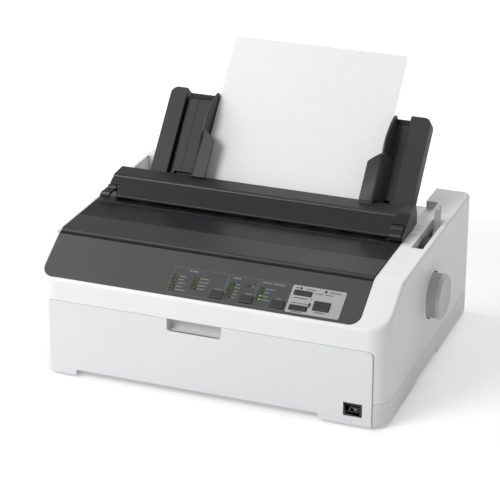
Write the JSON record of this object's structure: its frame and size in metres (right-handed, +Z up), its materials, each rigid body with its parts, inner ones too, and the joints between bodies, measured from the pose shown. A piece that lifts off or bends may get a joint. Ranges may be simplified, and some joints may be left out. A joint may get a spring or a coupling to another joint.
{
  "type": "dot matrix printer",
  "caption": "Desktop impact printer with white case, dark sloped panel, hinged cover, paper tension bar, upright sheet guide, loaded sheet, side knob and release lever.",
  "frame": {"origin": "on the floor, at the middle of the case's width and depth", "axes": "+Z up, +X to the right as seen from the front, +Y to the back; the front face looks to -Y"},
  "size_m": [0.4285, 0.3394, 0.3106],
  "materials": {
    "case_white": "fine matte texture",
    "feet_rubber": "matte",
    "panel_dark": "satin",
    "guide_dark": "fine matte texture",
    "edge_guide_grey": "satin",
    "window_smoked": "smoked clear",
    "key_plate_grey": "satin",
    "key_dark": "satin",
    "key_light": "satin",
    "lamp_green": "clear",
    "board_green": "solder mask",
    "switch_black": "gloss",
    "roller_grey": "matte",
    "platen_rubber": "ground matte",
    "paper_white": "paper",
    "lever_grey": "satin",
    "knob_grey": "satin",
    "shaft_steel": "ground",
    "bearing_nylon": "satin",
    "pinion_brass": "machined",
    "motor_black": "satin",
    "frame_steel": "zinc plated",
    "mechanism_black": "satin",
    "head_dark": "black anodised",
    "belt_black": "matte",
    "gap_lever_green": "satin",
    "ribbon_ink": "inked weave",
    "ribbon_knob_blue": "satin",
    "supply_board": "laminate"
  },
  "bodies": {
    "printer_case": {"lower_case": "case_white", "rubber_feet": "feet_rubber", "upper_case": "case_white", "control_panel": "panel_dark", "key_plate": "key_plate_grey", "status_lamps": "lamp_green", "panel_board": "board_green", "power_switch_housing": "switch_black", "tension_cover": "guide_dark", "platen_bearings": "bearing_nylon", "paper_pan": "mechanism_black", "feed_motor": "motor_black", "tractor_guide_rod": "shaft_steel", "left_side_frame": "frame_steel", "right_side_frame": "frame_steel", "chassis_plate": "frame_steel", "carriage_shaft": "shaft_steel", "front_rail": "frame_steel", "timing_belt": "belt_black", "carriage_motor": "motor_black", "main_board": "board_green", "power_supply": "supply_board", "interface_ports": "frame_steel", "ac_inlet": "switch_black", "chassis_screws": "shaft_steel"},
    "front_cover": {"front_cover": "case_white"},
    "font_button": {"font_button": "key_dark"},
    "pitch_button": {"pitch_button": "key_dark"},
    "tear_off_button": {"tear_off_button": "key_dark"},
    "load_button": {"load_button": "key_light"},
    "feed_button": {"feed_button": "key_light"},
    "pause_button": {"pause_button": "key_light"},
    "power_rocker": {"power_rocker": "switch_black"},
    "printer_cover": {"printer_cover": "panel_dark", "cover_window": "window_smoked"},
    "left_release_tab": {"left_release_tab": "guide_dark"},
    "right_release_tab": {"right_release_tab": "guide_dark"},
    "tension_rollers": {"tension_rollers": "roller_grey"},
    "sheet_guide": {"sheet_guide": "guide_dark"},
    "left_edge_guide": {"left_edge_guide": "edge_guide_grey"},
    "right_edge_guide": {"right_edge_guide": "edge_guide_grey"},
    "paper_sheet": {"paper_sheet": "paper_white"},
    "release_lever": {"release_lever": "lever_grey"},
    "platen": {"platen_roller": "platen_rubber", "platen_shaft": "shaft_steel", "platen_knob": "knob_grey", "platen_gear": "bearing_nylon"},
    "feed_idler_gear": {"feed_idler_gear": "bearing_nylon"},
    "feed_motor_pinion": {"feed_motor_pinion": "pinion_brass"},
    "tractor_shaft": {"tractor_shaft": "shaft_steel"},
    "left_tractor": {"left_tractor": "mechanism_black"},
    "right_tractor": {"right_tractor": "mechanism_black"},
    "carriage": {"carriage": "mechanism_black", "print_head": "head_dark"},
    "motor_pulley": {"motor_pulley": "shaft_steel"},
    "idler_pulley": {"idler_pulley": "shaft_steel"},
    "gap_lever": {"gap_lever": "gap_lever_green"},
    "ribbon_cartridge": {"ribbon_cartridge": "mechanism_black", "ribbon": "ribbon_ink"},
    "ribbon_knob": {"ribbon_knob": "ribbon_knob_blue"}
  },
  "joints": [
    {"name": "front_cover_pull", "type": "slide", "parent": "printer_case", "child": "front_cover", "axis": [0, -1, 0], "range_m": [0, 0.03]},
    {"name": "font_press", "type": "slide", "parent": "printer_case", "child": "font_button", "axis": [0, 0.5193, -0.8546], "range_m": [0, 0.001], "stiffness_N_per_m": 400, "springref_m": -0.001},
    {"name": "pitch_press", "type": "slide", "parent": "printer_case", "child": "pitch_button", "axis": [0, 0.5193, -0.8546], "range_m": [0, 0.001], "stiffness_N_per_m": 400, "springref_m": -0.001},
    {"name": "tear_off_press", "type": "slide", "parent": "printer_case", "child": "tear_off_button", "axis": [0, 0.5193, -0.8546], "range_m": [0, 0.001], "stiffness_N_per_m": 400, "springref_m": -0.001},
    {"name": "load_press", "type": "slide", "parent": "printer_case", "child": "load_button", "axis": [0, 0.5193, -0.8546], "range_m": [0, 0.001], "stiffness_N_per_m": 400, "springref_m": -0.001},
    {"name": "feed_press", "type": "slide", "parent": "printer_case", "child": "feed_button", "axis": [0, 0.5193, -0.8546], "range_m": [0, 0.001], "stiffness_N_per_m": 400, "springref_m": -0.001},
    {"name": "pause_press", "type": "slide", "parent": "printer_case", "child": "pause_button", "axis": [0, 0.5193, -0.8546], "range_m": [0, 0.001], "stiffness_N_per_m": 400, "springref_m": -0.001},
    {"name": "power_rock", "type": "hinge", "parent": "printer_case", "child": "power_rocker", "pos_m": [0.16925, -0.156, 0.02185], "axis": [1, 0, 0], "range_deg": [0, 7]},
    {"name": "printer_cover_hinge", "type": "hinge", "parent": "printer_case", "child": "printer_cover", "pos_m": [0, -0.0175, 0.1485], "axis": [-1, 0, 0], "range_deg": [0, 70]},
    {"name": "left_tab_hinge", "type": "hinge", "parent": "printer_case", "child": "left_release_tab", "pos_m": [-0.1849, 0.0005, 0.1665], "axis": [-1, 0, 0], "range_deg": [0, 20]},
    {"name": "right_tab_hinge", "type": "hinge", "parent": "printer_case", "child": "right_release_tab", "pos_m": [0.1647, 0.0005, 0.1665], "axis": [-1, 0, 0], "range_deg": [0, 20]},
    {"name": "platen_turn", "type": "hinge", "parent": "printer_case", "child": "platen", "pos_m": [0, 0.002, 0.092], "axis": [1, 0, 0], "continuous": true},
    {"name": "tension_turn", "type": "hinge", "parent": "printer_case", "child": "tension_rollers", "pos_m": [0, 0.028, 0.158], "axis": [1, 0, 0], "continuous": true},
    {"name": "idler_gear_turn", "type": "hinge", "parent": "printer_case", "child": "feed_idler_gear", "pos_m": [0.165, 0.03034, 0.06822], "axis": [1, 0, 0], "continuous": true},
    {"name": "motor_pinion_turn", "type": "hinge", "parent": "printer_case", "child": "feed_motor_pinion", "pos_m": [0.165, 0.04938, 0.05934], "axis": [1, 0, 0], "continuous": true},
    {"name": "tractor_turn", "type": "hinge", "parent": "printer_case", "child": "tractor_shaft", "pos_m": [0, 0.0477, 0.0889], "axis": [1, 0, 0], "continuous": true},
    {"name": "sheet_guide_lift", "type": "slide", "parent": "printer_case", "child": "sheet_guide", "axis": [0, 0.6561, 0.7547], "range_m": [0, 0.03]},
    {"name": "left_guide_slide", "type": "slide", "parent": "sheet_guide", "child": "left_edge_guide", "axis": [-1, 0, 0], "range_m": [0, 0.02]},
    {"name": "right_guide_slide", "type": "slide", "parent": "sheet_guide", "child": "right_edge_guide", "axis": [1, 0, 0], "range_m": [0, 0.008]},
    {"name": "sheet_feed", "type": "slide", "parent": "sheet_guide", "child": "paper_sheet", "axis": [0, 0.6561, 0.7547], "range_m": [0, 0.06]},
    {"name": "release_lever_swing", "type": "hinge", "parent": "printer_case", "child": "release_lever", "pos_m": [0, 0.028, 0.098], "axis": [1, 0, 0], "range_deg": [0, 54]},
    {"name": "left_tractor_slide", "type": "slide", "parent": "printer_case", "child": "left_tractor", "axis": [1, 0, 0], "range_m": [-0.008, 0.04]},
    {"name": "right_tractor_slide", "type": "slide", "parent": "printer_case", "child": "right_tractor", "axis": [1, 0, 0], "range_m": [-0.04, 0.008]},
    {"name": "carriage_travel", "type": "slide", "parent": "printer_case", "child": "carriage", "axis": [1, 0, 0], "range_m": [-0.095, 0.095]},
    {"name": "motor_pulley_turn", "type": "hinge", "parent": "printer_case", "child": "motor_pulley", "pos_m": [0.14, -0.064, 0.066], "axis": [0, 1, 0], "range_deg": [-640, 640]},
    {"name": "idler_pulley_turn", "type": "hinge", "parent": "printer_case", "child": "idler_pulley", "pos_m": [-0.147, -0.064, 0.066], "axis": [0, 1, 0], "range_deg": [-640, 640]},
    {"name": "gap_lever_swing", "type": "hinge", "parent": "printer_case", "child": "gap_lever", "pos_m": [-0.175, -0.035, 0.089], "axis": [1, 0, 0], "range_deg": [-25, 0]},
    {"name": "ribbon_cartridge_lift", "type": "slide", "parent": "printer_case", "child": "ribbon_cartridge", "axis": [0, 0, 1], "range_m": [0, 0.02]},
    {"name": "ribbon_knob_turn", "type": "hinge", "parent": "ribbon_cartridge", "child": "ribbon_knob", "pos_m": [-0.157, -0.09, 0.105], "axis": [0, 0, 1], "continuous": true}
  ],
  "couplings": [
    {"joint": "tension_turn", "follows": "platen_turn", "ratio": -1.625},
    {"joint": "idler_gear_turn", "follows": "platen_turn", "ratio": -1.4667},
    {"joint": "motor_pinion_turn", "follows": "platen_turn", "ratio": 3.6667},
    {"joint": "tractor_turn", "follows": "platen_turn", "ratio": 1.8333},
    {"joint": "motor_pulley_turn", "follows": "carriage_travel", "rad_per_m": 111.73},
    {"joint": "idler_pulley_turn", "follows": "carriage_travel", "rad_per_m": 111.73}
  ]
}
